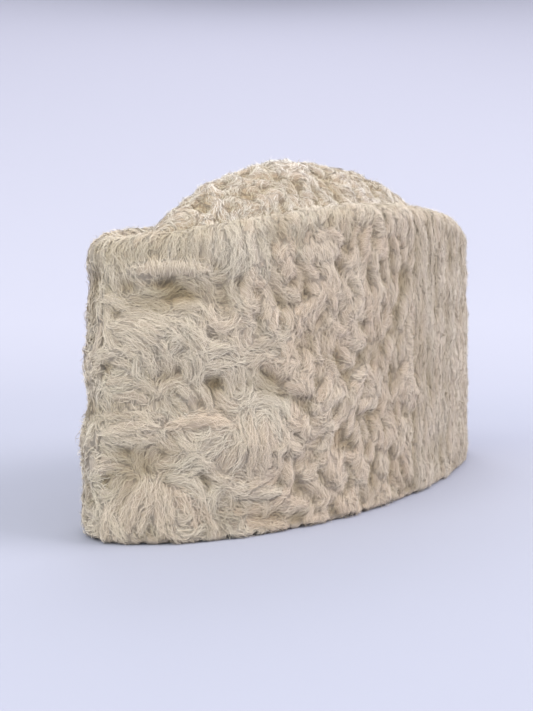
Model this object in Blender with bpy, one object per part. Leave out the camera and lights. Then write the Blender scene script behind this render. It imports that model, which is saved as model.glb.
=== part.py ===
"""A karakul cap: two side panels of curly lamb pelt, folded over at the rim, round a crown pushed up into a ridge.

Metres. +Z is up and Z 0 is the surface that the cap stands on. The front tip points to -Y and +X is the wearer's left.
"""

import math

import bmesh
import bpy

HALF_LENGTH = 0.1314      # middle to either tip, outer face of the rim
HALF_WIDTH = 0.0474       # middle to either side, outer face of the rim
TIP_SHARPNESS = 1.185     # power on the plan's cosine: 1 is an ellipse, 2 a pointed leaf
FRONT_FULLNESS = 0.229    # share by which the plan is wider towards the front tip, and narrower towards the back
BASE_FLARE = 0.031        # how much larger the plan is at the base than at the rim
RIM_FRONT = 0.1097        # height of the rim at the front tip
RIM_MIDDLE = 0.1277
RIM_BACK = 0.1185
RIGHT_SAG = 0.0050        # how much lower the right panel's rim hangs towards the front
RIGHT_SAG_ALONG = -0.60
RIDGE_TOP = 0.1480        # highest point of the crown
RIDGE_SHOULDER = 2.39     # power on the ridge's fall towards the tips
RIDGE_TIP_BELOW_RIM = 0.0050
PELT = 0.0065             # leather with its curls
FOLD_RADIUS = 0.0075      # outer radius of the fold along the rim
LIP_DEPTH = 0.020         # how far the folded edge comes back down
BASE_ROUND = 0.0025       # rounding of the cut edge that the cap stands on
SEAM_GAP = 0.0003         # between the two panels, in the seams at the tips
SEAM_GROOVE = 0.0013      # how far the curls dip into a seam
SEAM_REACH = 0.0030
CROWN_GAP = 0.0004        # between the lip and the crown's edge
CROWN_SINK = 0.012        # crown's edge below the rim
CROWN_FULLNESS = 1.9      # power on the crown's section: 2 is a parabola, less is more pointed
STATION_STEP = 4          # degrees of the plan's turn between two sections
WALL_STEPS = 12

# Broad swells (+) and dents (-) of the band: where along the turn (-90 front tip, 90 back tip), how high, how far
# each reaches both ways, and how far the face moves.
LEFT_RELIEF = (
    {"turn": -66, "height": 0.088, "reach_turn": 12, "reach_up": 0.008, "swell": -0.0014},
    {"turn": -58, "height": 0.068, "reach_turn": 12, "reach_up": 0.012, "swell": 0.0008},
    {"turn": -74, "height": 0.030, "reach_turn": 9, "reach_up": 0.008, "swell": -0.0012},
    {"turn": -44, "height": 0.034, "reach_turn": 13, "reach_up": 0.014, "swell": 0.0014},
    {"turn": 2, "height": 0.060, "reach_turn": 14, "reach_up": 0.022, "swell": -0.0006},
    {"turn": 34, "height": 0.050, "reach_turn": 10, "reach_up": 0.022, "swell": 0.0007},
)
RIGHT_RELIEF = (
    {"turn": -78, "height": 0.093, "reach_turn": 12, "reach_up": 0.007, "swell": -0.0024},
    {"turn": -78, "height": 0.067, "reach_turn": 14, "reach_up": 0.010, "swell": 0.0008},
    {"turn": -78, "height": 0.048, "reach_turn": 14, "reach_up": 0.006, "swell": -0.0022},
    {"turn": -76, "height": 0.033, "reach_turn": 14, "reach_up": 0.011, "swell": 0.0026},
    {"turn": -25, "height": 0.060, "reach_turn": 18, "reach_up": 0.020, "swell": -0.0008},
    {"turn": 25, "height": 0.050, "reach_turn": 16, "reach_up": 0.020, "swell": 0.0008},
)


def bell(distance):
    return math.exp(-distance * distance)


def rim_height(along, side):
    """Height of the rim of one side (1 left, -1 right), along the cap from -1 at the front tip to 1 at the back."""
    droop = (RIM_FRONT + RIM_BACK) / 2 - RIM_MIDDLE
    tilt = (RIM_BACK - RIM_FRONT) / 2
    sag = RIGHT_SAG * (1 - along ** 2) * bell((along - RIGHT_SAG_ALONG) / 0.45) if side < 0 else 0.0
    return RIM_MIDDLE + droop * along ** 2 + tilt * along - sag


def ridge_height(along):
    tip = (RIM_FRONT if along < 0 else RIM_BACK) - RIDGE_TIP_BELOW_RIM
    return RIDGE_TOP - (RIDGE_TOP - tip) * abs(along) ** RIDGE_SHOULDER


def plan_point(turn, inset, flare=1.0):
    """Point of the cap's outline seen from above, moved in from the outer face by inset."""
    turned = math.radians(turn)
    across = max(0.0, math.cos(turned)) ** TIP_SHARPNESS
    width = HALF_WIDTH * (1 - FRONT_FULLNESS * math.sin(turned))
    return (width * flare - inset) * across, (HALF_LENGTH * flare - inset) * math.sin(turned)


def swell_at(relief, turn, height):
    """How far the band's outer face stands out (+) or in (-). It dies out towards the base, which stands flat."""
    total = sum(
        row["swell"]
        * bell((turn - row["turn"]) / row["reach_turn"])
        * bell((height - row["height"]) / row["reach_up"])
        for row in relief
    )
    across, _ = plan_point(turn, 0.0)
    total -= SEAM_GROOVE * bell(across / SEAM_REACH)
    return total * min(1.0, height / 0.020)


def arc(centre_in, centre_up, radius, start, stop, steps):
    """Points (inset, height) on an arc, angles in degrees, 0 towards the head and 90 up."""
    for k in range(steps + 1):
        angle = math.radians(start + (stop - start) * k / steps)
        yield centre_in + radius * math.cos(angle), centre_up + radius * math.sin(angle)


def panel_section(rim):
    """Closed section of a side panel: up the outer face, over the fold, down the lip and back down the inner face.

    Each point is (inset from the outer face, height, 1 on the outer face that carries the relief, flare's height).
    """
    fold_up = rim - FOLD_RADIUS
    lip_out = 2 * FOLD_RADIUS - PELT      # side of the lip that faces the wall
    lip_end = rim - LIP_DEPTH
    slot = (lip_out - PELT) / 2
    section = []
    for inset, up in arc(BASE_ROUND, BASE_ROUND, BASE_ROUND, 270, 180, 2):
        section.append((inset, up, 1.0, up))
    for k in range(1, WALL_STEPS):
        up = BASE_ROUND + (fold_up - BASE_ROUND) * k / WALL_STEPS
        section.append((0.0, up, 1.0, up))
    for inset, up in arc(FOLD_RADIUS, fold_up, FOLD_RADIUS, 180, 0, 6):
        section.append((inset, up, max(0.0, 1 - inset / FOLD_RADIUS), min(up, rim)))
    for inset, up in arc(2 * FOLD_RADIUS - 0.002, lip_end + 0.002, 0.002, 0, -90, 2):
        section.append((inset, up, 0.0, rim))
    for inset, up in arc(lip_out + 0.002, lip_end + 0.002, 0.002, -90, -180, 2):
        section.append((inset, up, 0.0, rim))
    for inset, up in arc(PELT + slot, fold_up, slot, 0, 180, 2):
        section.append((inset, up, 0.0, rim if inset > PELT + slot / 2 else up))
    for k in range(1, 4):
        up = fold_up + (BASE_ROUND - fold_up) * k / 4
        section.append((PELT, up, 0.0, up))
    for inset, up in arc(PELT - 0.0015, 0.0015, 0.0015, 0, -90, 2):
        section.append((inset, up, 0.0, up))
    return section


def crown_section(along):
    """Closed section of the crown: over its upper face, then back along its underside.

    Each point is (sideways from -1 to 1, inset, height).
    """
    ridge = ridge_height(along)
    edges = {side: rim_height(along, side) - CROWN_SINK for side in (-1, 1)}
    outer = 2 * FOLD_RADIUS + CROWN_GAP
    inner = outer + PELT

    def arched(count, inset, way, drop_edge, drop_ridge):
        for k in range(count + 1):
            side = way * math.cos(math.pi * k / count) if 2 * k != count else 0.0
            edge = edges[1 if side > 0 else -1] - drop_edge
            top = ridge - drop_ridge
            section.append((side, inset, edge + (top - edge) * (1 - abs(side) ** CROWN_FULLNESS)))

    section = [(-1.0, outer, edges[-1] - 0.006)]
    arched(12, outer, -1, 0.0, 0.0)
    section.append((1.0, outer, edges[1] - 0.006))
    section.append((1.0, inner, edges[1] - 0.006))
    arched(8, inner, 1, 0.0035, PELT)
    section.append((-1.0, inner, edges[-1] - 0.006))
    return section


def lofted(name, stations, loops, place):
    """A grid bent into a tube: place(i, j) says where point j of station i goes. Its seam is welded and ends closed."""
    bm = bmesh.new()
    bmesh.ops.create_grid(bm, x_segments=stations - 1, y_segments=loops, size=1.0)
    for vertex in bm.verts:
        i = round((vertex.co.x + 1) / 2 * (stations - 1))
        j = round((vertex.co.y + 1) / 2 * loops) % loops
        vertex.co = place(i, j)
    bmesh.ops.remove_doubles(bm, verts=bm.verts, dist=1e-5)
    bmesh.ops.holes_fill(bm, edges=[edge for edge in bm.edges if edge.is_boundary], sides=0)
    bmesh.ops.triangulate(bm, faces=bm.faces)
    bmesh.ops.recalc_face_normals(bm, faces=bm.faces)
    mesh = bpy.data.meshes.new(name)
    bm.to_mesh(mesh)
    bm.free()
    mesh.shade_smooth()
    return bpy.data.objects.new(name, mesh)


def side_panel(name, side, relief):
    turns = list(range(-90, 91, STATION_STEP))
    if turns[-1] != 90:
        turns.append(90)
    rims = [rim_height(math.sin(math.radians(turn)), side) for turn in turns]
    sections = [panel_section(rim) for rim in rims]

    def place(i, j):
        turn = turns[i]
        inset, up, shown, flare_up = sections[i][j]
        inset -= shown * swell_at(relief, turn, up)
        x, y = plan_point(turn, inset, 1 + BASE_FLARE * (1 - flare_up / rims[i]))
        return side * (x + SEAM_GAP / 2), y, up

    return lofted(name, len(turns), len(sections[0]), place)


def crown(name):
    turns = list(range(-90, 91, STATION_STEP))
    if turns[-1] != 90:
        turns.append(90)
    sections = [crown_section(math.sin(math.radians(turn))) for turn in turns]

    def place(i, j):
        sideways, inset, up = sections[i][j]
        x, y = plan_point(turns[i], inset)
        return sideways * x, y, up

    return lofted(name, len(turns), len(sections[0]), place)


def pelt_material(name, colour, roughness):
    material = bpy.data.materials.new(name)
    material.use_nodes = True
    shader = material.node_tree.nodes["Principled BSDF"]
    shader.inputs["Base Color"].default_value = (*colour, 1.0)
    shader.inputs["Roughness"].default_value = roughness
    shader.inputs["Metallic"].default_value = 0.0
    return material


def main():
    for old in list(bpy.data.objects):
        bpy.data.objects.remove(old)
    cap = bpy.data.collections.new("karakul_cap")
    bpy.context.scene.collection.children.link(cap)
    beige = pelt_material("beige_lamb_curl", (0.48, 0.40, 0.31), 0.85)
    cream = pelt_material("cream_lamb_curl", (0.57, 0.47, 0.37), 0.85)
    pieces = (
        (side_panel("side_panel_left", 1, LEFT_RELIEF), beige),
        (side_panel("side_panel_right", -1, RIGHT_RELIEF), beige),
        (crown("crown"), cream),
    )
    for piece, material in pieces:
        piece.data.materials.append(material)
        cap.objects.link(piece)


main()
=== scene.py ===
# Karakul cap of curly lamb pelt: three pelts with raised curls, and hair laid along every curl.
import math

import bmesh
import bpy
import numpy as np
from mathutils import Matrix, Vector


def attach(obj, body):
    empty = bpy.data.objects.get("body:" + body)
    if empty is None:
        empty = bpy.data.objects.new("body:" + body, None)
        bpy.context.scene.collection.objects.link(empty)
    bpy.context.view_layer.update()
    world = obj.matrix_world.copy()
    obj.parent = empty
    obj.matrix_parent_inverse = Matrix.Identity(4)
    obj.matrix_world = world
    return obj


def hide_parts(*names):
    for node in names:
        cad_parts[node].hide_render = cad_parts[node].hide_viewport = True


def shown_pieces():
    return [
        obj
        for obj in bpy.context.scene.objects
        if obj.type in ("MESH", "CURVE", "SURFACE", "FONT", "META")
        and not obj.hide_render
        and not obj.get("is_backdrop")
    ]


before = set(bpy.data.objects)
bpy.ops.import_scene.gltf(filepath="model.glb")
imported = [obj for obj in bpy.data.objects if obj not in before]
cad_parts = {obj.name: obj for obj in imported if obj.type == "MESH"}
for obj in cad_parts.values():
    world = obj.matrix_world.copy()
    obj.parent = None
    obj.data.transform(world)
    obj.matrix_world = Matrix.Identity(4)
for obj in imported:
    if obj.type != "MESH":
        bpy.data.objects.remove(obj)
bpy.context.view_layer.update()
print("frame loaded")

capForm = {  # as in the solids: metres, and plain shares for how the curves bulge
    "halfLength": 0.1314, "halfWidth": 0.0474, "tipSharpness": 1.185, "frontFullness": 0.229,
    "baseFlare": 0.031, "rimFront": 0.1097, "rimMiddle": 0.1277, "rimBack": 0.1185,
    "rightSag": 0.0050, "rightSagAlong": -0.60, "rightSagReach": 0.45,
    "ridgeTop": 0.1480, "ridgeShoulder": 2.39, "ridgeTipBelowRim": 0.0050,
    "pelt": 0.0065, "foldRadius": 0.0075, "lipDepth": 0.020, "fleshRound": 0.0015,
    "baseRound": 0.0025, "seamGap": 0.0003, "crownGap": 0.0004, "crownSink": 0.012, "crownFullness": 1.9,
}


def srgb(hexColour):
    channels = [int(hexColour[i:i + 2], 16) / 255 for i in (1, 3, 5)]
    return (*[c / 12.92 if c <= 0.04045 else ((c + 0.055) / 1.055) ** 2.4 for c in channels], 1.0)


def addNode(tree, kind, settings=None, links=None):
    node = tree.nodes.new(kind)
    for key, value in (settings or {}).items():
        if isinstance(key, str) and hasattr(node, key):
            setattr(node, key, value)
        else:
            node.inputs[key].default_value = value
    for key, (source, output) in (links or {}).items():
        tree.links.new(source.outputs[output], node.inputs[key])
    return node


def surface(tree, look, links):
    shader = addNode(tree, "ShaderNodeBsdfPrincipled", look, links)
    addNode(tree, "ShaderNodeOutputMaterial", {}, {"Surface": (shader, 0)})


def addObject(name, data):
    added = bpy.data.objects.new(name, data)
    bpy.context.scene.collection.objects.link(added)
    return added


def meshFrom(bm, name):
    bmesh.ops.recalc_face_normals(bm, faces=bm.faces)
    mesh = bpy.data.meshes.new(name)
    bm.to_mesh(mesh)
    bm.free()
    mesh.shade_smooth()
    return mesh


def unit(vectors):
    return vectors / np.maximum(np.linalg.norm(vectors, axis=-1, keepdims=True), 1e-12)


# The form of the cap

def rimHeight(share, side):
    form = capForm  # share: -1 at the front tip, 1 at the back tip
    droop = (form["rimFront"] + form["rimBack"]) / 2 - form["rimMiddle"]
    tilt = (form["rimBack"] - form["rimFront"]) / 2
    offSag = (share - form["rightSagAlong"]) / form["rightSagReach"]
    sag = form["rightSag"] * (1 - share ** 2) * np.exp(-offSag ** 2)
    return form["rimMiddle"] + droop * share ** 2 + tilt * share - np.where(side < 0, sag, 0.0)


def planPoint(turn, inset, flare):
    form = capForm
    across = np.maximum(np.cos(turn), 0.0) ** form["tipSharpness"]
    width = form["halfWidth"] * (1 - form["frontFullness"] * np.sin(turn))
    return (width * flare - inset) * across, (form["halfLength"] * flare - inset) * np.sin(turn)


turnTable = np.linspace(-math.pi / 2, math.pi / 2, 4001)
tableX, tableY = planPoint(turnTable, 0.0, 1 + capForm["baseFlare"] / 2)
alongTable = np.concatenate([[0.0], np.cumsum(np.hypot(np.diff(tableX), np.diff(tableY)))]) * 1000
bandLength = alongTable[-1]  # mm from the front seam to the back seam


def bandTop(along, side):
    # mm up the outer face, over the fold and down the lip to its lower edge
    turn = np.interp(along, alongTable, turnTable)
    fold = capForm["foldRadius"]
    return (rimHeight(np.sin(turn), side) + (math.pi - 2) * fold + capForm["lipDepth"]) * 1000


def panelPoint(side, along, inset, height, flareHeight):
    # past a seam the surface goes on round the tip of the cap
    folded = np.where(along < 0, -along, np.where(along > bandLength, 2 * bandLength - along, along))
    turn = np.interp(folded, alongTable, turnTable)
    rim = rimHeight(np.sin(turn), side)
    flare = 1 + capForm["baseFlare"] * (1 - np.minimum(flareHeight / rim, 1))
    x, y = planPoint(turn, inset, flare)
    outward = side * np.where((along < 0) | (along > bandLength), -1.0, 1.0)
    return np.stack(np.broadcast_arrays(outward * (x + capForm["seamGap"] / 2), y, height), -1)


def bandPoint(side, along, up):
    form = capForm
    folded = np.where(along < 0, -along, np.minimum(along, 2 * bandLength - along))
    turn = np.interp(folded, alongTable, turnTable)
    rim = rimHeight(np.sin(turn), side)
    foldUp = rim - form["foldRadius"]
    climbed = up / 1000
    foldAngle = np.clip((climbed - foldUp) / form["foldRadius"], 0, math.pi)
    lipRun = np.maximum(climbed - foldUp - math.pi * form["foldRadius"], 0)
    corner = np.clip(1 - climbed / form["baseRound"], 0, 1)
    inset = form["foldRadius"] * (1 - np.cos(foldAngle)) + form["baseRound"] * (1 - np.sqrt(1 - corner ** 2))
    height = np.clip(climbed, 0, foldUp) + form["foldRadius"] * np.sin(foldAngle) - lipRun
    flareHeight = np.where(foldAngle >= math.pi / 2, rim, height)
    return panelPoint(side, along, inset, height, flareHeight)


def crownRise(share, side):
    form = capForm
    tip = np.where(share < 0, form["rimFront"], form["rimBack"]) - form["ridgeTipBelowRim"]
    ridge = form["ridgeTop"] - (form["ridgeTop"] - tip) * np.abs(share) ** form["ridgeShoulder"]
    return ridge, rimHeight(share, side) - form["crownSink"]


crownInset = 2 * capForm["foldRadius"] + capForm["crownGap"]
crownReach = (capForm["halfLength"] - crownInset) * 1000  # mm from the middle to either tip


def crownShell(along, over, inset=crownInset, dropEdge=0.0, dropRidge=0.0):
    # over: -1 at the right edge, 0 on the ridge, 1 at the left edge
    share = np.clip(along / crownReach, -1, 1)
    x, y = planPoint(np.arcsin(share), inset, 1.0)
    ridge, edge = crownRise(share, np.where(over > 0, 1, -1))
    fall = 1 - np.abs(over) ** capForm["crownFullness"]
    height = edge - dropEdge + (ridge - dropRidge - edge + dropEdge) * fall
    return np.stack(np.broadcast_arrays(x * over, y, height), -1)


overSteps = np.linspace(0, 1, 61)
crownSteps = np.linspace(-crownReach, crownReach, 116)
crownArcs = {}  # mm from the ridge to each of overSteps, at each of crownSteps
for side in (-1, 1):
    shell = crownShell(crownSteps[:, None], side * overSteps[None, :])
    runs = np.linalg.norm(np.diff(shell, axis=1), axis=-1) * 1000
    crownArcs[side] = np.concatenate([np.zeros((len(crownSteps), 1)), np.cumsum(runs, axis=1)], axis=1)


def crownArc(along, side):
    # the row of crownArcs at any distance along
    last = len(crownSteps) - 1
    place = np.clip((along + crownReach) / (2 * crownReach) * last, 0, last - 0.001)
    low = place.astype(int)
    part = (place - low)[..., None]
    return crownArcs[side][low] * (1 - part) + crownArcs[side][low + 1] * part


def crownPoint(along, across):
    along, across = np.broadcast_arrays(along, across)
    rows = np.where((across > 0)[..., None], crownArc(along, 1), crownArc(along, -1))
    rows = rows + overSteps * 1e-6  # so that they rise even at the tips
    reach = np.minimum(np.abs(across), rows[..., -1])
    step = np.clip((rows < reach[..., None]).sum(-1) - 1, 0, len(overSteps) - 2)
    low = np.take_along_axis(rows, step[..., None], -1)[..., 0]
    high = np.take_along_axis(rows, step[..., None] + 1, -1)[..., 0]
    over = (step + (reach - low) / (high - low)) / (len(overSteps) - 1)
    return crownShell(along, np.sign(across) * np.clip(over, 0, 1))


# facing: the sign that turns the normals outwards; low and high: corners of the flattened pelt in mm
regions = {
    "left": {"place": lambda s, v: bandPoint(1, s, v), "facing": 1,
             "low": (-4, -2), "high": (bandLength + 4, 162)},
    "right": {"place": lambda s, v: bandPoint(-1, s, v), "facing": -1,
              "low": (-4, -2), "high": (bandLength + 4, 162)},
    "crown": {"place": crownPoint, "facing": -1,
              "low": (-crownReach - 1, -62), "high": (crownReach + 1, 62)},
}


def withNormal(region, s, v, field=None):
    # the point, the outward normal and, with a field, the normal of the relief that it raises
    place, step = region["place"], 0.4  # mm
    point = place(s, v)
    tangentS = (place(s + step, v) - place(s - step, v)) / (2 * step)
    tangentV = (place(s, v + step) - place(s, v - step)) / (2 * step)
    normal = unit(np.cross(tangentS, tangentV) * region["facing"])
    if field is None:
        return point, normal
    raised = normal
    alongS = (tangentS, (s + step, v), (s - step, v))
    alongV = (tangentV, (s, v + step), (s, v - step))
    for tangent, ahead, behind in (alongS, alongV):
        slope = (sample(region, field, *ahead) - sample(region, field, *behind)) / (2000 * step)
        raised = raised - tangent * (slope / np.maximum((tangent ** 2).sum(-1), 1e-9))[..., None]
    return point, normal, unit(raised)


# The curls

creaseDepth = 2.4   # mm that a lock's own edge lies under the form
merging = 3.4       # per mm, how sharply one curl gives way to the next
cell = 0.5          # mm, grid of the flattened pelt
sink = {"left": 1.2, "right": 1.2, "crown": 2.0}  # mm that the whole relief sits below its own heights
combWidth = 5.5     # mm, width of the strands that a combed lock is parted into
whole = 99.0        # mm, the same for locks that aren't parted
namedLean = 0.3     # mm that the tips of the listed locks are lifted
silkyEnd = 62       # mm from the front seam to the end of the long silky locks
stringsFrom, ribsFrom = 112, 158  # mm from the front seam
backPits = 0.6      # share of their depth that pits behind silkyEnd keep
swellWaves = 12     # low waves across the whole pelt
swellHeight = 0.13  # mm, of each

# Every lock is a bent roll on the flattened pelt, in mm and degrees: s and v are its middle, lay is the
# angle from its axis to its hair, hair the length of that hair, tone runs from bluish -1 to yellow 1
lockColumns = ("s", "v", "length", "width", "turn", "bend", "height", "lay", "hair", "taper", "tone")
leftLocks = [
    (27, 98, 32, 8, 0, -15, 1.9, -82, 8, 0.0, -0.2),     # roll under the rim, hair combed down over it
    (17, 87, 26, 8, -12, -60, 1.1, 0, 7, -0.2, -0.4),    # umbrella of arcs under the roll
    (17, 80, 27, 9, -20, -60, 2.1, 0, 7, -0.2, -0.3),
    (15, 73, 26, 9, -26, -60, 2.5, 0, 7, -0.2, -0.3),
    (12, 66, 24, 9, -28, -55, 1.9, 0, 7, -0.2, -0.2),
    (3, 76, 22, 8, -75, 40, 1.2, 0, 7, 0.0, -0.2),
    (10, 56, 22, 10, 0, -75, 1.8, 0, 6, 0.0, -0.1),
    (40, 69, 24, 8, 12, -20, 1.5, 0, 7, -0.2, -0.5),
    (43, 63, 24, 8, 5, 25, 1.5, 0, 7, -0.2, -0.5),
    (11, 42, 25, 14, 4, -30, 2.2, -12, 7, 0.0, -0.1),
    (7, 27, 15, 7, -20, 50, 1.0, 0, 6, 0.0, 0.0),
    (9, 15, 24, 9, -120, 35, 1.9, 0, 7, -0.2, 0.0),      # tufts that fan out at the front of the base
    (16, 13, 26, 9, -100, 15, 2.1, 0, 7, -0.2, 0.1),
    (24, 13, 26, 9, -82, -15, 1.9, 0, 7, -0.2, 0.1),
    (3, 9, 18, 8, -95, 20, 1.4, 0, 6, 0.0, 0.0),
    (35, 13, 22, 10, -65, -20, 1.2, 0, 7, 0.0, 0.4),
    (40, 27, 30, 7, -42, 18, 2.2, 6, 7, 0.1, -0.3),      # long light lock that sweeps down to the base
    (56, 17, 30, 7.5, -12, 24, 2.0, 6, 7, -0.2, -0.3),
    (49, 36, 25, 10, -108, -18, 2.1, 0, 8, 0.1, 0.0),    # dome with its hair fanned out
    (58, 36, 27, 11, -90, 0, 2.5, 0, 8, 0.1, 0.1),
    (67, 35, 26, 10, -72, 18, 2.1, 0, 8, 0.1, 0.1),
    (58, 7, 38, 11, 0, 12, 0.7, 0, 7, 0.0, 0.5),
    (39, 44, 28, 8, -6, -55, 2.0, 0, 6, 0.0, 0.4),
    (45, 77.5, 21, 7, 0, 245, 2.3, 14, 6, -0.1, 0.0),    # spiral curl
    (54.5, 91, 22, 7, -100, 55, 2.4, 60, 6, 0.0, 0.0),   # leaf
    (65, 92, 20, 12, -55, -30, 1.6, 15, 6, 0.0, 0.0),
    (88, 105, 22, 12, 5, -30, 1.8, -70, 6, 0.0, 0.0),
    (112, 90, 27, 7, -80, -190, 2.4, 60, 5, 0.0, 0.0),
    (94, 35, 19, 6.5, 90, 200, 2.4, 55, 5, 0.0, -0.2),
    (92, 48, 20, 9, 20, -30, 2.1, 50, 6, 0.0, 0.0),
    (105, 45, 15, 9, 45, 20, 1.9, 45, 6, 0.0, 0.0),
    (153.5, 59, 46, 8, 90, 6, 2.4, 68, 5, 0.0, 0.0),     # upright ridge where the ribbed part starts
]
pitColumns = ("s", "v", "reachS", "reachV", "depth")
leftPits = [
    (11, 92, 3, 2, 1.2), (23, 92.5, 5, 1.8, 1.6), (33, 88, 3.5, 2, 1.2), (31, 73, 2.5, 6, 0.9),
    (25, 60, 4, 2.5, 0.6), (43, 57, 4, 1.8, 0.8), (35, 50, 3, 2, 1.0), (9, 33, 8, 1.8, 0.7),
    (25, 23, 3, 3, 1.2), (45, 25, 5, 2, 0.9), (16, 1, 1.5, 3, 1.0), (25, 1, 3, 2.5, 1.0),
    (44, 1, 2, 2, 0.8), (58, 1, 3, 2, 0.8), (53, 93, 1.8, 2, 1.0), (70, 75, 2, 2, 1.4),
    (75, 75, 1.6, 1.6, 1.2), (76, 94, 1.8, 1.8, 1.2), (85, 93.5, 4, 1.3, 1.0), (95, 92, 2, 2, 1.2),
    (103, 110, 2, 2, 0.9), (115, 105, 2, 2, 0.9), (126, 103, 6, 1.6, 1.0), (155, 113, 2, 2, 0.9),
    (88, 34, 2, 2, 1.2), (80, 25, 2, 2, 1.2), (86, 12, 2, 2, 1.0), (105, 24, 2, 2, 1.2),
    (111, 18, 2, 2, 1.0), (114, 35, 2, 1.6, 1.2), (127, 36, 2, 1.6, 1.2), (148, 36, 5, 1.6, 1.0),
    (138, 15, 2, 2, 1.0), (122, 17, 2, 2, 1.0), (105, 58, 2, 3, 1.2), (123, 60, 4, 1.6, 1.1),
    (141, 52, 2, 2, 1.0),
]

# broad dents and swellings of the panels, close to those of the solids:
# degrees round the plan, mm up, reach in degrees and in mm, mm outwards
bulges = {
    "left": ((-66, 88, 12, 8, -1.8), (-66, 73, 12, 10, 1.6), (-74, 31, 9, 7, -1.0), (-44, 36, 12, 12, 2.0),
             (-45, 14, 12, 5, 0.7), (-62, 55, 16, 5, -0.6), (2, 60, 14, 22, -0.6), (34, 50, 10, 22, 0.7)),
    "right": ((-78, 93, 12, 7, -2.4), (-78, 67, 14, 10, 0.3), (-78, 48, 14, 6, -2.4),
              (-76, 33, 14, 11, 2.0), (-25, 60, 18, 20, -0.8), (25, 50, 16, 20, 0.8)),
    "crown": (),
}


def table(columns, rows):
    return {name: np.array([row[k] for row in rows], float) for k, name in enumerate(columns)}


def joined(tables):
    return {name: np.concatenate([one[name] for one in tables]) for name in tables[0]}


def lockPoint(locks, index, a, b):
    # from a mm along and b mm across a lock to the flattened pelt
    bend = locks["curve"][index]
    start = locks["angle"][index]
    now = start + bend * a
    s = locks["s"][index] + (np.sin(now) - np.sin(start)) / bend - b * np.sin(now)
    v = locks["v"][index] - (np.cos(now) - np.cos(start)) / bend + b * np.cos(now)
    return s, v


def prepared(locks):
    # adds the bend for each mm and the heading in radians; a straight lock gets a trace of bend
    bend = np.where(np.abs(locks["bend"]) < 0.5, 0.5, locks["bend"])
    return dict(locks, curve=np.radians(bend) / locks["length"], angle=np.radians(locks["turn"]))


def combed(random, locks):
    # parts each wide lock into strands side by side that follow its bend and dome over it
    locks = prepared(locks)
    counts = np.maximum(1, np.round(locks["width"] / locks["strand"])).astype(int)
    index = np.repeat(np.arange(len(counts)), counts)
    order = np.concatenate([np.arange(count) for count in counts])
    share = (2 * order + 1) / counts[index] - 1   # -1 to 1 across the lock
    b = share * locks["width"][index] / 2
    a = locks["length"][index] * random.uniform(-0.09, 0.09, len(index))
    parted = {key: column[index] for key, column in locks.items()}
    parted["s"], parted["v"] = lockPoint(locks, index, a, b)
    swing = 1 - locks["curve"][index] * b
    single = counts[index] == 1
    parted["length"] = np.where(single, parted["length"], parted["length"] * np.clip(np.abs(swing), 0.35, 2)
                                * random.uniform(0.8, 1.05, len(index)))
    wander = np.where(single, 0, random.normal(0, 5, len(index)))
    parted["turn"] = parted["turn"] + np.degrees(locks["curve"][index] * a) + wander
    overlap = np.where(single, 1, random.uniform(1.2, 1.6, len(index)))
    parted["width"] = parted["width"] / counts[index] * overlap
    dome = parted["height"] * (1 - 0.75 * share ** 2) + random.uniform(-0.5, 0.3, len(index))
    parted["height"] = np.where(single, parted["height"], dome)
    return prepared(parted)


def lockCoordinates(locks, k, s, v):
    # the reverse of lockPoint: mm along and across a lock
    bend, start = locks["curve"][k], locks["angle"][k]
    centreS = locks["s"][k] - np.sin(start) / bend
    centreV = locks["v"][k] + np.cos(start) / bend
    radius = np.hypot(s - centreS, v - centreV)
    sign = np.sign(bend)
    heading = np.arctan2(sign * (s - centreS), -sign * (v - centreV))
    a = ((heading - start + math.pi) % (2 * math.pi) - math.pi) / bend
    return a, 1 / bend - sign * radius


def lockHeight(length, width, taper, height, lean, a, b):
    # a roll that is round across; lean lifts its tip over the next lock and sinks its root
    run = np.clip(2 * a / length, -1, 1)
    half = width / 2 * (1 + taper * run) * np.sqrt(np.maximum(1 - np.abs(run) ** 3, 0)) + 1e-3
    roundness = np.sqrt(np.maximum(1 - (b / half) ** 2, 0))
    return -creaseDepth + (height * (1 - 0.3 * run ** 2) + lean * run + creaseDepth) * roundness


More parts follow.
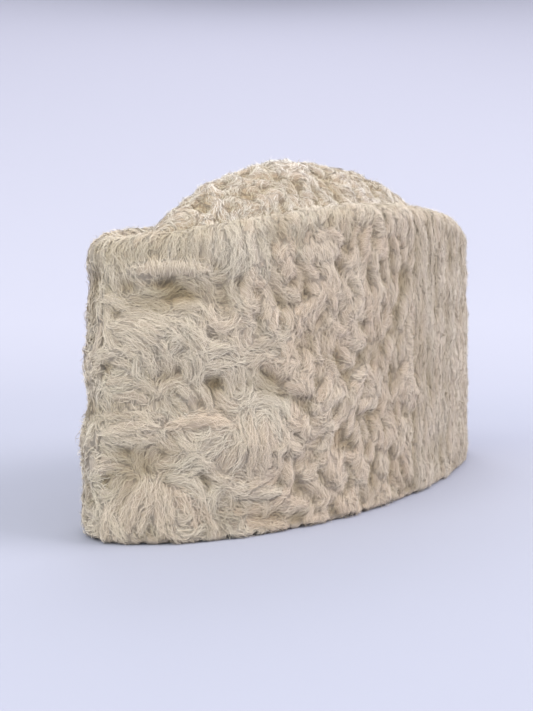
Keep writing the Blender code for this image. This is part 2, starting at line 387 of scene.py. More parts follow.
fillers = {  # spacing, jitter and brick: the rows; turn: middle and spread; other pairs: lowest and highest
    "curly": {"spacing": (6.4, 6.0), "jitter": 0.55, "brick": 0.5, "length": (9, 16), "width": (5, 8),
              "turn": (-90, 75), "bend": (30, 150), "height": (0.3, 2.2), "lean": (0.2, 1.0),
              "lay": (0, 45), "hair": (4, 6.5), "tone": (0.0, 0.6)},
    "strings": {"spacing": (7.2, 7.5), "jitter": 0.36, "brick": 0.0, "length": (10, 17), "width": (5.5, 8),
                "turn": (-90, 30), "bend": (10, 110), "height": (0.3, 2.0), "lean": (0.2, 0.9),
                "lay": (0, 50), "hair": (4, 6), "tone": (-0.1, 0.6)},
    "ribbed": {"spacing": (8.8, 24), "jitter": 0.24, "brick": 0.0, "length": (34, 70), "width": (7.5, 10),
               "turn": (-90, 6), "bend": (2, 26), "height": (0.4, 1.3), "lean": (0.0, 0.2), "lay": (0, 24),
               "hair": (3, 5), "tone": (-0.5, 0.0)},
    "silky": {"spacing": (8.0, 7.5), "jitter": 0.38, "brick": 0.5, "length": (13, 24), "width": (7, 12),
              "turn": (0, 180), "bend": (30, 130), "height": (0.5, 1.9), "lean": (0.1, 0.6), "lay": (0, 15),
              "hair": (5, 8.5), "tone": (-0.7, 0.0), "strand": combWidth},
    "rim": {"spacing": (8.0, 13), "jitter": 0.38, "brick": 0.5, "length": (16, 26), "width": (8, 12),
            "turn": (-90, 25), "bend": (2, 50), "height": (0.3, 1.0), "lean": (0.0, 0.3), "lay": (0, 15),
            "hair": (3.5, 6), "tone": (-0.8, 0.0), "strand": combWidth},
    "fluffy": {"spacing": (6.2, 6.0), "jitter": 0.55, "brick": 0.5, "length": (8, 14), "width": (5, 8),
               "turn": (0, 180), "bend": (60, 190), "height": (0.2, 1.4), "lean": (0.2, 0.7),
               "lay": (0, 60), "hair": (2.5, 4.8), "tone": (-0.6, 0.3)},
}


def scatter(random, low, high, kind):
    # jittered rows, most of them offset like bricks
    spacing, jitter, brick = [fillers[kind][key] for key in ("spacing", "jitter", "brick")]
    rows = int((high[1] - low[1]) / spacing[1]) + 1
    cols = int((high[0] - low[0]) / spacing[0]) + 1
    col, row = np.meshgrid(np.arange(cols), np.arange(rows))
    s = low[0] + (col + brick * (row % 2) + random.uniform(-jitter, jitter, col.shape)) * spacing[0]
    v = low[1] + (row + random.uniform(-jitter, jitter, col.shape)) * spacing[1]
    s, v = s.ravel(), v.ravel()
    phase = random.uniform(0, 2 * math.pi, 2)
    wavyS = s + 1.3 * np.sin(v / 7 + s / 13 + phase[0])  # so that no straight rows show
    wavyV = v + 1.6 * np.sin(s / 6 + v / 19 + phase[1])
    return wavyS, wavyV


def fillLocks(random, kind, s, v):
    rules = fillers[kind]
    count = len(s)
    either = lambda: random.choice([-1.0, 1.0], count)
    between = lambda key: random.uniform(*rules[key], count)
    return {"s": s, "v": v, "length": between("length"), "width": between("width"),
            "turn": rules["turn"][0] + random.uniform(-1, 1, count) * rules["turn"][1],
            "bend": between("bend") * either(), "height": between("height"), "lean": between("lean"),
            "lay": between("lay") * either(), "hair": between("hair"),
            "taper": random.uniform(-0.35, 0.35, count), "tone": between("tone"),
            "strand": np.full(count, rules.get("strand", whole))}


def rimStart(s, side):
    # mm up to where the smooth hair of the rim begins; further back it only covers the fold
    return bandTop(s, side) - np.interp(s, (0, 60, 90), (44, 44, 35)) - 4 * np.cos(s / 9)


def bandKind(s, v, side):
    uneven = s + 7 * np.sin(v / 12) + 5 * np.sin(v / 4.7 + 1)  # so that no border shows
    kind = np.full(len(s), "curly", dtype=object)
    kind[uneven < silkyEnd] = "silky"
    kind[uneven > stringsFrom] = "strings"
    kind[uneven > ribsFrom] = "ribbed"
    kind[v > rimStart(s, side)] = "rim"
    return kind


def brushed(region, s, v):
    # 0 where the wool curls, 1 on the rim where it is brushed smooth
    if region["place"] is crownPoint:
        return np.zeros(np.broadcast_shapes(np.shape(s), np.shape(v)))
    return np.clip((v - rimStart(s, region["facing"])) / 8 + 0.5, 0, 1)


def floorOf(region, s, v):
    # height of the valleys in mm: deep between curls, shallow at the back and where the hair is smooth
    smooth = brushed(region, s, v)
    valley = np.interp(s, (0, 48, 78, 145, 165), (-1.2, -1.2, -1.4, -1.2, -0.7))
    return valley * (1 - smooth) - 0.3 * smooth


def softened(field, times):
    for _ in range(times):
        padded = np.pad(field, 1, mode="edge")
        sides = padded[:-2, 1:-1] + padded[2:, 1:-1] + padded[1:-1, :-2] + padded[1:-1, 2:]
        corners = padded[:-2, :-2] + padded[2:, :-2] + padded[:-2, 2:] + padded[2:, 2:]
        field = (4 * padded[1:-1, 1:-1] + 2 * sides + corners) / 16
    return field


def reliefOf(region, locks, pits):
    # height of the curls on the flattened pelt and the lock on top at each cell
    low, high = region["low"], region["high"]
    sCells = np.arange(low[0], high[0] + cell, cell)
    vCells = np.arange(low[1], high[1] + cell, cell)
    shape = (len(sCells), len(vCells))
    highest, owner = np.full(shape, -creaseDepth), np.zeros(shape, int)
    total = np.exp(merging * floorOf(region, sCells[:, None], vCells[None, :]))
    doubled = np.zeros((2, *shape))  # hair direction at twice its angle, so that opposite ways agree
    for k in range(len(locks["s"])):
        reach = locks["length"][k] / 2 + locks["width"][k] / 2 + 1
        i0, i1 = np.searchsorted(sCells, (locks["s"][k] - reach, locks["s"][k] + reach))
        j0, j1 = np.searchsorted(vCells, (locks["v"][k] - reach, locks["v"][k] + reach))
        if i1 <= i0 or j1 <= j0:
            continue
        a, b = lockCoordinates(locks, k, sCells[i0:i1, None], vCells[None, j0:j1])
        own = lockHeight(*[locks[name][k] for name in ("length", "width", "taper", "height", "lean")], a, b)
        window = highest[i0:i1, j0:j1]
        owner[i0:i1, j0:j1][own > window] = k
        np.maximum(window, own, out=window)
        weight = np.exp(merging * own)
        heading = locks["angle"][k] + locks["curve"][k] * a + math.radians(locks["lay"][k])
        total[i0:i1, j0:j1] += weight
        doubled[:, i0:i1, j0:j1] += weight * np.stack([np.cos(2 * heading), np.sin(2 * heading)])
    height = np.log(total) / merging
    dent = np.zeros(shape)
    for k in range(len(pits["s"])):
        farS = (sCells[:, None] - pits["s"][k]) / pits["reachS"][k]
        farV = (vCells[None, :] - pits["v"][k]) / pits["reachV"][k]
        kept = backPits if pits["s"][k] > silkyEnd else 1
        dent += pits["depth"][k] * kept * np.exp(-farS ** 2 - farV ** 2)
    region.update(height=height, dent=dent, locks=locks, owner=owner,
                  cosine=softened(doubled[0] / total, 2), sine=softened(doubled[1] / total, 2))


def sample(region, name, s, v):
    # a field of the region between its cells
    field = region[name]
    i = np.clip((s - region["low"][0]) / cell, 0, field.shape[0] - 1.001)
    j = np.clip((v - region["low"][1]) / cell, 0, field.shape[1] - 1.001)
    i0, j0 = i.astype(int), j.astype(int)
    fi, fj = i - i0, j - j0
    return (field[i0, j0] * (1 - fi) * (1 - fj) + field[i0 + 1, j0] * fi * (1 - fj)
            + field[i0, j0 + 1] * (1 - fi) * fj + field[i0 + 1, j0 + 1] * fi * fj)


def swells(name, random):
    # low waves of the whole pelt and the broad bulges, in mm
    region = regions[name]
    i, j = np.meshgrid(*[np.arange(n) * cell for n in region["height"].shape], indexing="ij")
    waves = 0
    for _ in range(swellWaves):
        length, heading, phase = random.uniform(16, 45), random.uniform(0, 6.283), random.uniform(0, 6.283)
        way = (i * math.cos(heading) + j * math.sin(heading)) * 2 * math.pi / length
        waves = waves + np.sin(way + phase)
    turn = np.degrees(np.interp(np.abs(i + region["low"][0]), alongTable, turnTable))
    up = j + region["low"][1]
    out = sum(swell * np.exp(-((turn - at) / reach) ** 2 - ((up - height) / reachUp) ** 2)
              for at, height, reach, reachUp, swell in bulges[name])
    return swellHeight * waves + out * np.clip(up / 20, 0, 1)


def furnish(name, seed, named=(), pits=()):
    region = regions[name]
    random = np.random.default_rng(seed)
    if name == "crown":
        s, v = scatter(random, region["low"], region["high"], "fluffy")
        tables = [fillLocks(random, "fluffy", s, v)]
    else:
        side = region["facing"]
        tables = []
        for kind in ("curly", "strings", "ribbed", "silky", "rim"):
            s, v = scatter(random, region["low"], region["high"], kind)
            here = (bandKind(s, v, side) == kind) & (v < bandTop(s, side) + 4)
            tables.append(fillLocks(random, kind, s[here], v[here]))
    locks = joined(tables)
    if named:
        own = table(lockColumns, named)
        strand = np.where(np.abs(own["lay"]) < 20, combWidth, whole)
        own = prepared(dict(own, lean=np.full(len(named), namedLean), strand=strand))
        locks = prepared(locks)
        near = np.zeros(len(locks["s"]), bool)
        for k in range(len(own["s"])):
            a, b = lockCoordinates(own, k, locks["s"], locks["v"])
            run, off = np.abs(a) / (own["length"][k] / 2), np.abs(b) / (own["width"][k] / 2)
            near |= (run < 0.85) & (off < 0.5)
        locks = joined([own, {key: column[~near] for key, column in locks.items()}])
    locks = combed(random, locks)
    reliefOf(region, locks, table(pitColumns, pits))
    relief = softened(region["height"], 5)
    if name != "crown":  # the curls grow softer towards the back of the panels
        along = region["low"][0] + np.arange(len(relief)) * cell
        share = np.interp(along, (50, 80, 130, 175), (0, 0.4, 0.55, 0.85))[:, None]
        relief = relief * (1 - share) + softened(relief, 12) * share
    region["skin"] = relief - region["dent"] - sink[name] + swells(name, random)
    print(name, "curls:", len(locks["s"]))


furnish("left", 11, leftLocks, leftPits)
furnish("right", 23)
furnish("crown", 37)


# The pelts

def strandsAt(region, s, v):
    # where a point lies in the hair of the curl on top: mm across the hair, mm along it, and the curl
    locks = region["locks"]
    i = np.clip(np.round((s - region["low"][0]) / cell).astype(int), 0, region["owner"].shape[0] - 1)
    j = np.clip(np.round((v - region["low"][1]) / cell).astype(int), 0, region["owner"].shape[1] - 1)
    owner = region["owner"][i, j]
    a, b = lockCoordinates(locks, owner, s, v)
    lay = np.radians(locks["lay"][owner])
    across, along = b * np.cos(lay) - a * np.sin(lay), a * np.cos(lay) + b * np.sin(lay)
    return np.stack([across, along, owner * 5.7], -1), locks["tone"][owner]


def peltMesh(name, points, depth, strands, tone):
    # points: stations x round the section; closed round, ends filled
    stations, loops = points.shape[:2]
    bm = bmesh.new()
    bm.loops.layers.uv.new("OFBake")
    depthLayer = bm.verts.layers.float.new("depth")
    toneLayer = bm.verts.layers.float.new("tone")
    strandLayer = bm.verts.layers.float_vector.new("strand")
    bmesh.ops.create_grid(bm, x_segments=stations - 1, y_segments=loops, size=1.0, calc_uvs=True)
    for vertex in bm.verts:
        i = round((vertex.co.x + 1) / 2 * (stations - 1))
        j = round((vertex.co.y + 1) / 2 * loops) % loops
        vertex.co = points[i, j]
        vertex[depthLayer] = depth[i, j]
        vertex[toneLayer] = tone[i, j]
        vertex[strandLayer] = strands[i, j]
    bmesh.ops.remove_doubles(bm, verts=bm.verts, dist=2e-5)
    bmesh.ops.holes_fill(bm, edges=[edge for edge in bm.edges if edge.is_boundary], sides=0)
    return meshFrom(bm, name)


tuftGap = 0.0014  # metres


def baseGap(region, s):
    # metres that the outer edge of the base lifts between its tufts; the inner edge rests
    if region["place"] is crownPoint:
        return 0.0
    wave = np.sin(s * 0.55) + 0.8 * np.sin(s * 1.19 + 1) + 0.5 * np.sin(s * 0.23 + 2)
    return tuftGap * np.clip(wave, 0, 1.6)


def raised(region, s, v, shown=1.0):
    # points on the relief, and its height in mm
    point, normal = withNormal(region, s, v)
    lift = sample(region, "skin", s, v) * shown
    point = point + normal * (lift / 1000)[..., None]
    point[..., 2] = np.maximum(point[..., 2], baseGap(region, s))
    return point, lift


def withInside(points, depth, strands, tone, rows):
    # adds the rows of the inside, which carry no hair
    inside = np.stack(rows, 1)
    fleshDepth = np.full(inside.shape[:2], 5.0)
    return (np.concatenate([points, inside], 1), np.concatenate([depth, fleshDepth], 1),
            np.concatenate([strands, inside * 1000], 1), np.concatenate([tone, 0 * fleshDepth], 1))


def arcPoints(centreIn, centreUp, radius, start, stop, steps):
    turns = np.radians(np.linspace(start, stop, steps + 1))
    return [(centreIn + radius * math.cos(t), centreUp + radius * math.sin(t)) for t in turns]


peltSteps = {"left": 1.15, "right": 1.3, "crown": 1.2}  # mm between the stations of each pelt
sectionRun = {"panel": 150, "crown": 100}  # mm, about as far as one section runs
crownCollar, crownFlesh = 0.006, 0.0035  # metres from its outer edge down to its cut edge and its inside


def panelPelt(regionName):
    form, region, step = capForm, regions[regionName], peltSteps[regionName]
    side = region["facing"]
    stations = int(bandLength / step)
    s = np.linspace(0, bandLength, stations)
    rim = rimHeight(np.sin(np.interp(s, alongTable, turnTable)), side)
    v = np.linspace(0, 1, int(sectionRun["panel"] / step))[None, :] * bandTop(s, side)[:, None]
    sGrid = np.broadcast_to(s[:, None], v.shape)
    edges = np.minimum(1, np.minimum(v / 3, (bandTop(s, side)[:, None] - v) / 3))  # the curls end in 3 mm
    points, depth = raised(region, sGrid, v, edges)
    strands, tone = strandsAt(region, sGrid, v)
    inner = []  # round the end of the lip, up its back, over the slot and down the flesh side
    fold, pelt, wall = form["foldRadius"], form["pelt"], rim - form["foldRadius"]
    lipOut, lipEnd = 2 * fold - pelt, rim - form["lipDepth"]
    slot = (lipOut - pelt) / 2
    for inset, up in arcPoints((2 * fold + lipOut) / 2, 0, (2 * fold - lipOut) / 2, -20, -160, 4):
        inner.append((inset, lipEnd + up, rim))
    for inset, up in arcPoints(pelt + slot, 0, slot, 0, 180, 3):
        inner.append((inset, wall + up, rim if inset > pelt + slot / 2 else wall + up))
    for k in range(1, 16):
        up = wall + (form["baseRound"] - wall) * k / 16
        inner.append((pelt, up, up))
    corner = form["fleshRound"]
    for inset, up in arcPoints(pelt - corner, corner, corner, 0, -90, 2):
        level = np.full_like(rim, up)
        inner.append((inset, level, level))
    insideRows = [panelPoint(side, s, inset, height, flareHeight) for inset, height, flareHeight in inner]
    return peltMesh(regionName + "Pelt", *withInside(points, depth, strands, tone, insideRows))


def crownPelt():
    region, step = regions["crown"], peltSteps["crown"]
    share = np.sin(np.linspace(-math.pi / 2, math.pi / 2, int(2 * crownReach / step)))
    s = share * crownReach
    arcs = {side: crownArc(s, side)[:, -1] for side in (-1, 1)}
    part = np.linspace(-1, 1, int(sectionRun["crown"] / step))[None, :]
    v = np.where(part < 0, part * arcs[-1][:, None], part * arcs[1][:, None])
    sGrid = np.broadcast_to(s[:, None], v.shape)
    edges = np.minimum(1, (1 - np.abs(part)) * 8) * np.minimum(1, (1 - np.abs(share)) * 20)[:, None]
    points, depth = raised(region, sGrid, v, edges)
    strands, tone = strandsAt(region, sGrid, v)
    innerInset = crownInset + capForm["pelt"]
    rows = []

    def collar(side, insets):
        height = rimHeight(share, side) - capForm["crownSink"] - crownCollar
        for inset in insets:
            x, y = planPoint(np.arcsin(share), inset, 1.0)
            rows.append(np.stack([side * x, y, height], -1))

    collar(1, (crownInset, innerInset))
    for k in range(13):
        over = np.full_like(s, math.cos(math.pi * k / 12) if k != 6 else 0.0)  # exactly 0 on the ridge
        rows.append(crownShell(s, over, innerInset, crownFlesh, capForm["pelt"]))
    collar(-1, (innerInset, crownInset))
    return peltMesh("crownPelt", *withInside(points, depth, strands, tone, rows))


# The hair

# rise, sleek and contrast: mm along the pelt, and how high the hair rises, how sleekly it shades and how its
# tints differ there
panelHair = {
    "rise": ((0, 6), (0.4, 1.0)), "sleek": ((45, 110), (0, 0.45)),
    "contrast": ((0, 60, 150), (0.85, 0.45, 0.2)), "stand": 1.5, "fuzzFrom": 6,
}
hairSettings = {  # how many hairs at most, in how many meshes; width, stand and fuzzFrom in mm
    "left": {"count": 57000, "parts": 2, "width": 0.175, "seed": 5, **panelHair},
    "right": {"count": 30000, "parts": 2, "width": 0.26, "seed": 6, **panelHair},
    "crown": {"count": 26500, "parts": 1, "width": 0.20, "seed": 7, "rise": ((0,), (0.7,)),
              "sleek": ((0,), (0.25,)), "contrast": ((0,), (0.4,)), "stand": 2.2, "fuzzFrom": -200},
}
hairSteps = np.array([0.0, 0.28, 0.55, 0.8, 1.0])  # places of its sections, for UV map and stand
hairTaper = np.array([0.9, 1.0, 0.85, 0.6])        # share of the hair's width at all but the tip
hairArch = np.array([0.0, 0.8, 1.0, 0.9, 0.5])     # share of its rise
walkSteps = 16     # steps that a hair is walked in, with a section at every fourth
perClump = 4       # hairs that share a root and part of their tint
spareClumps = 1.35  # times as many clumps as needed, because some fall outside
frizzShare = 0.42  # of the hairs cross the others, finer and higher
fuzzShare = 0.3    # of those hairs have a tip that stands off the surface
openPit = 0.7      # mm of depth from which a pit stays free of hair


def walkHair(region, s, v, angle, length, offset, stray, curl, phase):
    # follows the way of the hair over the pelt; s and v of each hair's sections
    path, walked = [], np.zeros(len(s))
    for step in range(walkSteps + 1):
        if step % 4 == 0:
            gather = 1 - 0.5 * step / walkSteps  # the tips of a clump draw together
            wave = 0.3 * np.sin(walked * 1.4 + phase)
            path.append((s + offset[0] * gather - wave * np.sin(angle),
                         v + offset[1] * gather + wave * np.cos(angle)))
        field = 0.5 * np.arctan2(sample(region, "sine", s, v), sample(region, "cosine", s, v))
        angle = field + np.where(np.cos(field - angle) < 0, math.pi, 0)
        heading = angle + stray + curl * walked
        stride = length / walkSteps
        s, v, walked = s + stride * np.cos(heading), v + stride * np.sin(heading), walked + stride
    return [np.stack(places, 1) for places in zip(*path)]


def ribbon(first, second, tip):
    # the nine points or normals of each hair from both edges and the tip
    edges = np.stack([first, second], 2).reshape(len(first), 8, 3)
    return np.concatenate([edges, tip[:, None]], 1)


def growHair(regionName):
    region, settings = regions[regionName], hairSettings[regionName]
    random = np.random.default_rng(settings["seed"])
    clumps = int(settings["count"] / perClump * spareClumps)
    s = random.uniform(region["low"][0] + 2, region["high"][0] - 2, clumps)
    v = random.uniform(region["low"][1] + 2, region["high"][1], clumps)
    if regionName == "crown":
        edge = np.where(v > 0, crownArc(s, 1)[:, -1], crownArc(s, -1)[:, -1])
        inside = (np.abs(s) < crownReach - 1) & (np.abs(v) < edge)
    else:
        inside = v < bandTop(s, region["facing"]) - 4
    inside &= sample(region, "dent", s, v) < openPit
    s, v = s[inside], v[inside]
    clumps = len(s)
    shuffled = random.permutation(clumps * perClump)[:settings["count"]]
    clump = np.repeat(np.arange(clumps), perClump)[shuffled]
    total = len(clump)
    frizz = random.random(total) < frizzShare
    row, column = [((values - low) / cell).astype(int) for values, low in zip((s, v), region["low"])]
    owner = region["owner"][row, column]
    locks = region["locks"]
    length = locks["hair"][owner][clump] * random.uniform(0.65, 1.1, total) * np.where(frizz, 0.65, 1.0)
    offset = random.normal(0, 0.85, (2, total))  # mm from the root of the clump
    s, v = s[clump], v[clump]
    angle = 0.5 * np.arctan2(sample(region, "sine", s, v), sample(region, "cosine", s, v))
    angle = angle + np.where(random.random(clumps) < 0.5, math.pi, 0)[clump]
    stray = random.normal(0, 1, total) * np.where(frizz, 0.6, 0.22)  # radians off the way of the hair
    curl = random.normal(0, 1, total) * np.where(frizz, 0.22, 0.04)  # radians for each mm
    phase = random.uniform(0, 2 * math.pi, clumps)[clump]
    s, v = walkHair(region, s, v, angle, length, offset, stray, curl, phase)
    rootS, rootV = s[:, 0], v[:, 0]
    rise = np.where(frizz, random.uniform(0.3, 1.4, total), random.uniform(0.1, 0.8, total))
    rise = rise * np.interp(rootS, *settings["rise"])
    smooth = brushed(region, rootS, rootV)
    fuzz = frizz & (random.random(total) < fuzzShare) & (rootS > settings["fuzzFrom"])
    lift = 0.08 + rise[:, None] * hairArch
    stand = random.uniform(0.3, settings["stand"], total)
    lift = lift + np.where(fuzz, stand, 0)[:, None] * hairSteps ** 1.5
    settled = sample(region, "skin", s, v)
    point, normal, relief = withNormal(region, s, v, "skin")
    point = point + normal * ((settled + lift) / 1000)[..., None]
    tangent = unit(np.gradient(point, axis=1))
    flat = unit(np.cross(tangent, normal))
    upright = np.cross(flat, tangent)
    twist = random.uniform(-0.75, 0.75, (total, 1, 1))
    across = flat * np.cos(twist) + upright * np.sin(twist)
    fineness = np.where(fuzz, 0.55, np.where(frizz, 0.75, 1.0))
    widths = settings["width"] / 2000 * random.uniform(0.7, 1.25, total) * fineness
    sides = across[:, :4] * (widths[:, None] * hairTaper)[..., None]
    verts = ribbon(point[:, :4] - sides, point[:, :4] + sides, point[:, 4])
    verts[..., 2] = np.maximum(verts[..., 2], 0.0001)  # none goes through the floor
    sleek = np.interp(rootS, *settings["sleek"])[:, None, None]
    wool = relief * (0.2 + 0.6 * sleek) + normal * (0.3 + 0.4 * sleek)  # so that the hair shades softly
    shading = unit(wool + np.cross(across, tangent) * (0.65 - sleek))
    normals = ribbon(shading[:, :4], shading[:, :4], shading[:, 4])
    print(regionName, "hairs:", total)
    contrast = np.interp(rootS, *settings["contrast"]) * (1 - 0.5 * smooth)
    tint = 0.5 * random.uniform(-1, 1, clumps)[clump] + 0.5 * random.uniform(-1, 1, total)
    tint = 0.5 + 0.5 * contrast * tint + np.where(frizz, 0.15, 0) + 0.12 * smooth
    tint = tint + 0.12 * np.clip(settled[:, 2] + 0.7, -1, 1.2)  # painted highlight and shade: hair high on the curls is paler, hair low down darker
    return verts, normals, np.clip(tint, 0, 1), locks["tone"][owner][clump], settled


def hairMesh(name, verts, normals, tint, tone, depth):
    # three quads and a triangle for each hair
    total = len(verts)
    mesh = bpy.data.meshes.new(name)
    base = np.arange(total)[:, None] * 9
    quads = base + np.array([[0, 1, 3, 2, 2, 3, 5, 4, 4, 5, 7, 6]])
    loops = np.concatenate([quads, base + np.array([[6, 7, 8]])], 1)
    mesh.vertices.add(total * 9)
    mesh.vertices.foreach_set("co", verts.astype(np.float32).ravel())
    mesh.loops.add(total * 15)
    mesh.loops.foreach_set("vertex_index", loops.astype(np.int32).ravel())
    mesh.polygons.add(total * 4)
    starts = np.arange(total)[:, None] * 15 + np.array([[0, 4, 8, 12]])
    mesh.polygons.foreach_set("loop_start", starts.astype(np.int32).ravel())
    mesh.update(calc_edges=True)
    cells = math.ceil(math.sqrt(total))
    corner = np.stack([np.arange(total) % cells, np.arange(total) // cells], -1)[:, None, :]
    runs = np.append(np.repeat(hairSteps[:4], 2), 1.0)
    sides = np.array([0.15, 0.85] * 4 + [0.5])
    places = (corner + np.stack([0.06 + 0.88 * runs, sides], -1)[None]) / cells
    uvMap = mesh.uv_layers.new(name="OFBake")
    local = loops - base
    uvMap.data.foreach_set("uv", np.take_along_axis(places, local[..., None], 1).astype(np.float32).ravel())
    depths = np.concatenate([np.repeat(depth[:, :4], 2, 1), depth[:, 4:]], 1).ravel()
    for key, values in (("tint", np.repeat(tint, 9)), ("tone", np.repeat(tone, 9)), ("depth", depths)):
        mesh.attributes.new(key, "FLOAT", "POINT").data.foreach_set("value", values.astype(np.float32))
    mesh.shade_smooth()
    mesh.normals_split_custom_set_from_vertices(normals.reshape(-1, 3))
    return mesh


# Materials

def mixColours(tree, low, high, share, blend="MIX"):
    # low and high: hex colours or (node, output); share: a number or (node, output)
    ends = {6: low, 7: high}  # sockets A and B of a colour mix; 0 is its factor, and 2 its result
    links = {key: end for key, end in ends.items() if isinstance(end, tuple)}
    settings = {key: srgb(end) for key, end in ends.items() if isinstance(end, str)}
    if isinstance(share, tuple):
        links[0] = share
    else:
        settings[0] = share
    return addNode(tree, "ShaderNodeMix", {"data_type": "RGBA", "blend_type": blend, **settings}, links), 2


def mapped(tree, source, low, high, toLow=0.0, toHigh=1.0):
    # sockets 1 to 4 are the range that it is mapped from and the one that it is mapped to
    return addNode(tree, "ShaderNodeMapRange", {1: low, 2: high, 3: toLow, 4: toHigh}, {0: source}), 0


def attribute(tree, name, output="Fac"):
    return addNode(tree, "ShaderNodeAttribute", {"attribute_name": name}), output


def newTree(name):
    material = bpy.data.materials.new(name)
    material.use_nodes = True
    material.node_tree.nodes.clear()
    return material, material.node_tree


def woolColour(tree, colours, streak):
    # dark to light by the streak, a pale or yellow cast by curl, and painted shade down in the creases,
    # darker and yellower there
    tone = mapped(tree, attribute(tree, "tone"), -1, 1)
    cast = mixColours(tree, colours["pale"], colours["yellow"], tone)
    plain = mixColours(tree, colours["dark"], colours["light"], streak)
    toned = mixColours(tree, plain, cast, 1.0, "MULTIPLY")
    # painted shade: the deeper the wool lies in a crease, the more of the darker, yellower crease colour is
    # multiplied on
    lowDown = mapped(tree, attribute(tree, "depth"), -3.0, -0.4, 1.0, 0.0)
    return mixColours(tree, toned, colours["crease"], lowDown, "MULTIPLY")


def lambHair(name, colours):
    # lamb's wool, hair by hair: each has its own tint; soft sheen and hardly any gloss
    material, tree = newTree(name)
    colour = woolColour(tree, colours, attribute(tree, "tint"))
    look = {"Roughness": 0.6, "IOR": 1.55, "Specular IOR Level": 0.3, "Sheen Weight": 0.25,
            "Sheen Roughness": 0.5}
    surface(tree, look, {"Base Color": colour})
    return material


def lambPelt(name, colours):
    # lambskin: streaks of wool that follow each curl's hair; bare pale suede on the flesh side
    material, tree = newTree(name)
    strand = attribute(tree, "strand", "Vector")
    streakScale = (3.2, 0.16, 1.0)  # per mm: streaks about 0.3 mm wide and 6 mm long, others on every curl
    stretch = addNode(tree, "ShaderNodeMapping", {"Scale": streakScale}, {"Vector": strand})
    grain = {"Scale": 1.0, "Detail": 3.0, "Roughness": 0.6, "Distortion": 0.4}
    streaks = addNode(tree, "ShaderNodeTexNoise", grain, {"Vector": (stretch, 0)})
    streak = mapped(tree, (streaks, 0), 0.3, 0.7)
    wool = woolColour(tree, colours, streak)
    flesh = mapped(tree, attribute(tree, "depth"), 4.0, 5.0)
    colour = mixColours(tree, wool, colours["suede"], flesh)
    bump = addNode(tree, "ShaderNodeBump", {"Strength": 1.0, "Distance": 0.0003}, {"Height": streak})
    look = {"Roughness": 0.75, "IOR": 1.5, "Specular IOR Level": 0.2, "Sheen Weight": 0.2,
            "Sheen Roughness": 0.5}
    surface(tree, look, {"Base Color": colour, "Normal": (bump, 0)})
    return material


# crease: painted shade, a darker and yellower colour multiplied on the hair and wool low in the creases
beigeHair = {"dark": "#b2a58f", "light": "#e5d9ca",  # of single hairs
             "pale": "#f8fdf7", "yellow": "#fff7eb", "crease": "#d6cdb6"}  # casts that are multiplied on
creamHair = {"dark": "#c9c3b8", "light": "#f2eee9",
             "pale": "#f7f9f6", "yellow": "#fff9ec", "crease": "#ddd4be"}
# the wool under the hair is painted darker than the hair itself: painted shade beneath the hair; the suede
# is the flesh side's own colour
under = {"dark": "#a69688", "light": "#cfc2b1", "suede": "#d8cdbd"}  # wool under the hair, flesh side
beigeLook = (lambPelt("beigeLambskin", {**beigeHair, **under}), lambHair("beigeLambHair", beigeHair))
creamLook = (lambPelt("creamLambskin", {**creamHair, **under}), lambHair("creamLambHair", creamHair))
materials = {"left": beigeLook, "right": beigeLook, "crown": creamLook}


def addPiece(name, mesh, material, node):
    mesh.materials.append(material)
    piece = addObject(name, mesh)
    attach(piece, "root")
    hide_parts(node)
    return piece


nodeOf = {"left": ("side_panel_left", "beige_lamb_curl"), "right": ("side_panel_right", "beige_lamb_curl"),
          "crown": ("crown", "cream_lamb_curl")}
pelts = {"left": panelPelt("left"), "right": panelPelt("right"), "crown": crownPelt()}
print("pelts made")
for regionName, (node, slotName) in nodeOf.items():
    peltMaterial, hairMaterial = materials[regionName]
    addPiece(regionName + "Pelt", pelts[regionName], peltMaterial, node)
    grown = growHair(regionName)
    parts = hairSettings[regionName]["parts"]
    for part in range(parts):
        mesh = hairMesh(regionName + "Hair", *[values[part::parts] for values in grown])
        addPiece(f"{regionName}Hair{part + 1}", mesh, hairMaterial, node)
print("hair laid")


# The studio

studioForm = {"flat": 0.45, "curve": 1.3, "slope": math.radians(24), "reach": 8.0}  # metres


def studioDish():
    # one round pale sheet: flat under the cap and curved up all round, so that each side has a backdrop
    form = studioForm
    profile = [(0.0, 0.0), (form["flat"], 0.0)]
    for turn in np.linspace(0.04, form["slope"], 16):
        run, up = form["flat"] + form["curve"] * math.sin(turn), form["curve"] * (1 - math.cos(turn))
        profile.append((run, up))
    profile.append((form["reach"], up + (form["reach"] - run) * math.tan(form["slope"])))
    bm = bmesh.new()
    row = [bm.verts.new((run, 0, up)) for run, up in profile]
    edges = [bm.edges.new(pair) for pair in zip(row, row[1:])]
    bmesh.ops.spin(bm, geom=row + edges, cent=(0, 0, 0), axis=(0, 0, 1), angle=2 * math.pi, steps=96,
                   use_merge=True)
    bmesh.ops.remove_doubles(bm, verts=bm.verts, dist=1e-5)
    return meshFrom(bm, "studioDish")


cameraPlace = {"azimuth": math.radians(38.15), "elevation": math.radians(3.934), "distance": 0.4260,
               "target": Vector((0.0005, -0.0385, 0.0622)), "lens": 50.14}

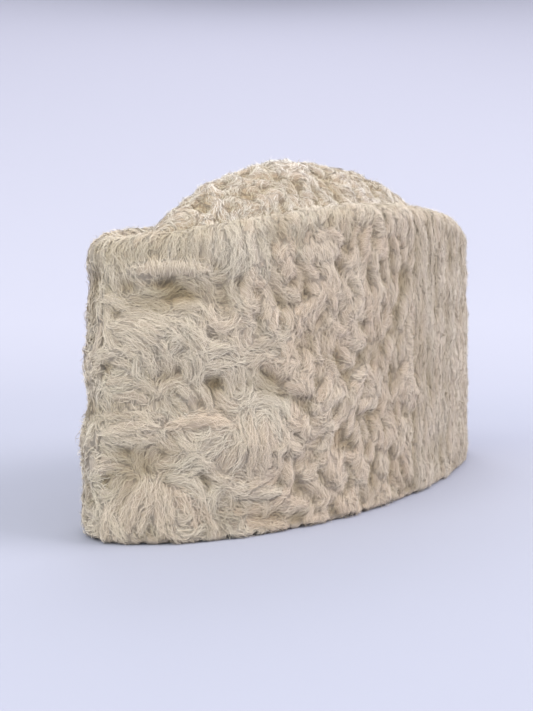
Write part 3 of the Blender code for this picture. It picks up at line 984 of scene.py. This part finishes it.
dishMaterial, dishTree = newTree("mattePaperSweep")  # matte paper, faintly lavender, darker near the cap
position = addNode(dishTree, "ShaderNodeTexCoord")
distance = addNode(dishTree, "ShaderNodeVectorMath", {"operation": "LENGTH"}, {0: (position, "Object")})
metres = (distance, "Value")
# painted shade: the paper is darker on the floor near the cap and lighter out on the sweep
nearShadeColour = mixColours(dishTree, "#a3a6b2", "#afb1bc", mapped(dishTree, metres, 0.3, 0.8))
paperColour = mixColours(dishTree, nearShadeColour, "#b0b1bc", mapped(dishTree, metres, 1.0, 2.6))
surface(dishTree, {"Roughness": 0.9, "Specular IOR Level": 0.1}, {"Base Color": paperColour})
dishMesh = studioDish()
dishMesh.materials.append(dishMaterial)
dish = addObject("studioDish", dishMesh)
dish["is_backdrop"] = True


def softbox(name, place, target, size, power, colour, spread=130):
    data = bpy.data.lights.new(name, "AREA")
    data.shape = "RECTANGLE"
    data.size, data.size_y = size
    data.energy = power
    data.spread = math.radians(spread)  # a grid on the lamp keeps it off the paper beside it
    data.color = srgb(colour)[:3]
    light = addObject(name, data)
    light.location = place
    light.visible_camera = False  # the lamps stay out of every view
    light.rotation_euler = (Vector(target) - Vector(place)).to_track_quat("-Z", "Y").to_euler()


softbox("keyLight", (0.2, -2.3, 2.3), (0, 0, 0.06), (2.6, 2.6), 41.5, "#fbfbf5")
softbox("lowLight", (0.35, -0.95, 0.27), (0, -0.05, 0.03), (1.0, 0.25), 0.47, "#fbfbf8", spread=70)
softbox("topLight", (0.6, 0.4, 3.0), (0, 0, 0.05), (3.2, 3.2), 6, "#f4f5ff")
softbox("fillLight", (2.1, 1.35, 1.7), (0, 0, 0.06), (2.2, 2.0), 50, "#fbf6fb")
softbox("backLight", (-1.6, 2.0, 2.6), (0, 0, 0.06), (2.0, 2.0), 24, "#f8f6ff")

world = bpy.data.worlds.new("paleRoom")
world.use_nodes = True
glow = world.node_tree.nodes["Background"].inputs
glow["Color"].default_value = srgb("#e6e7f2")
glow["Strength"].default_value = 0.945
bpy.context.scene.world = world
bpy.context.scene.view_settings.view_transform = "Standard"

azimuth, elevation = cameraPlace["azimuth"], cameraPlace["elevation"]
outwards = Vector((math.sin(azimuth) * math.cos(elevation), -math.cos(azimuth) * math.cos(elevation),
                   math.sin(elevation)))
cameraData = bpy.data.cameras.new("photoCamera")
cameraData.lens = cameraPlace["lens"]
cameraData.sensor_width = 36
cameraData.clip_start = 0.01
camera = addObject("photoCamera", cameraData)
camera.location = cameraPlace["target"] + outwards * cameraPlace["distance"]
camera.rotation_euler = (-outwards).to_track_quat("-Z", "Y").to_euler()
bpy.context.scene.camera = camera

triangles = {piece.name: sum(len(p.vertices) - 2 for p in piece.data.polygons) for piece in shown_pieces()}
print("triangles", triangles)
